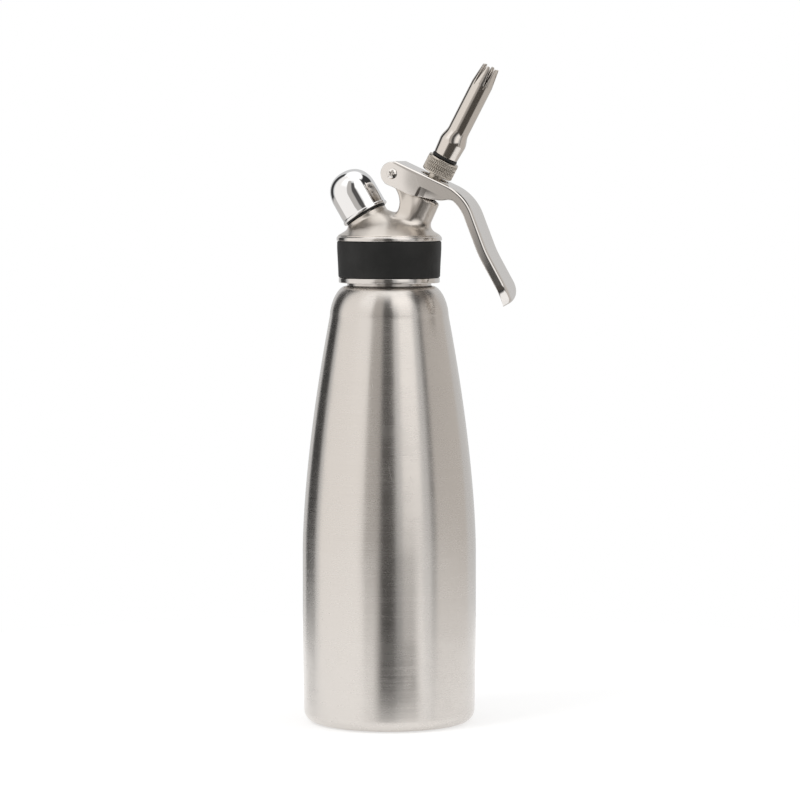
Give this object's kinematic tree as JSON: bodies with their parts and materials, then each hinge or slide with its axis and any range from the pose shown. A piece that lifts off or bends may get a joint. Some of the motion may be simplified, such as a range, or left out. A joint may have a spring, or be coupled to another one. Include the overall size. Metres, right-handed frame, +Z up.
{
  "type": "whipped cream dispenser",
  "caption": "Upright steel bottle with a screwed head, a curved lever over a sprung valve, a slotted decorator tip on a slant and a domed screw cap over a charging valve.",
  "frame": {"origin": "centre of the base, on the surface that the bottle stands on", "axes": "+Z up the bottle's axis, +X towards the lever, Y along the lever's pin"},
  "size_m": [0.1204, 0.0972, 0.3681],
  "materials": {
    "brushed_stainless": "brushed round the axis",
    "satin_casting": "satin, tumbled after casting",
    "polished_steel": "polished",
    "chrome": "mirror chrome",
    "knurled_nickel": "nickel, diamond knurl",
    "charcoal_silicone": "matt, moulded",
    "black_rubber": "moulded",
    "white_plastic": "moulded",
    "spring_steel": "drawn wire and stamped sheet"
  },
  "bodies": {
    "bottle": {"bottle": "brushed_stainless"},
    "head_seal": {"head_seal": "black_rubber"},
    "head": {"head_casting": "satin_casting", "grip_band": "charcoal_silicone", "charging_nipple": "polished_steel", "piercing_pin": "spring_steel", "charger_seal": "black_rubber", "charge_spring": "spring_steel", "stem_guide": "white_plastic", "stem_o_ring": "black_rubber", "valve_spring": "spring_steel"},
    "lever": {"lever": "polished_steel", "lever_pin": "polished_steel", "pin_clip": "spring_steel"},
    "valve": {"valve_stem": "polished_steel", "tip_adapter": "knurled_nickel", "seat_seal": "black_rubber", "foot_nut": "polished_steel"},
    "tip_gasket": {"tip_gasket": "black_rubber"},
    "tip": {"decorator_tip": "polished_steel"},
    "cap_seal": {"cap_seal": "black_rubber"},
    "cap": {"protective_cap": "chrome"},
    "poppet": {"charge_poppet": "black_rubber"}
  },
  "joints": [
    {"name": "head_rise", "type": "slide", "parent": "bottle", "child": "head_seal", "axis": [0, 0, 1], "range_m": [0, 0.00801]},
    {"name": "head_unscrew", "type": "hinge", "parent": "head_seal", "child": "head", "pos_m": [0, 0, 0.264], "axis": [0, 0, 1], "range_deg": [0, 720]},
    {"name": "lever_press", "type": "hinge", "parent": "head", "child": "lever", "pos_m": [0.0049, 0, 0.3072], "axis": [0, 1, 0], "range_deg": [0, 10.5], "stiffness_Nm_per_rad": 0.5, "springref_deg": -11.46},
    {"name": "valve_slide", "type": "slide", "parent": "head", "child": "valve", "axis": [-0.4679, 0, -0.8838], "range_m": [0, 0.0037], "stiffness_N_per_m": 150, "springref_m": -0.01, "deforming": ["valve_spring"]},
    {"name": "tip_rise", "type": "slide", "parent": "valve", "child": "tip_gasket", "axis": [0.4679, 0, 0.8838], "range_m": [0, 0.00451]},
    {"name": "tip_unscrew", "type": "hinge", "parent": "tip_gasket", "child": "tip", "pos_m": [0.03213, 0, 0.31551], "axis": [0.4679, 0, 0.8838], "range_deg": [0, 1080]},
    {"name": "cap_rise", "type": "slide", "parent": "head", "child": "cap_seal", "axis": [-0.5135, 0, 0.8581], "range_m": [0, 0.00601]},
    {"name": "cap_unscrew", "type": "hinge", "parent": "cap_seal", "child": "cap", "pos_m": [-0.0133, 0, 0.2839], "axis": [-0.5135, 0, 0.8581], "range_deg": [0, 1080]},
    {"name": "poppet_slide", "type": "slide", "parent": "head", "child": "poppet", "axis": [0.5135, 0, -0.8581], "range_m": [0, 0.0012], "stiffness_N_per_m": 10, "springref_m": -0.0005, "deforming": ["charge_spring"]}
  ],
  "couplings": [
    {"joint": "head_rise", "follows": "head_unscrew", "m_per_rad": 0.00063662},
    {"joint": "valve_slide", "follows": "lever_press", "m_per_rad": 0.0201},
    {"joint": "tip_rise", "follows": "tip_unscrew", "m_per_rad": 0.00023873},
    {"joint": "cap_rise", "follows": "cap_unscrew", "m_per_rad": 0.00031831}
  ]
}
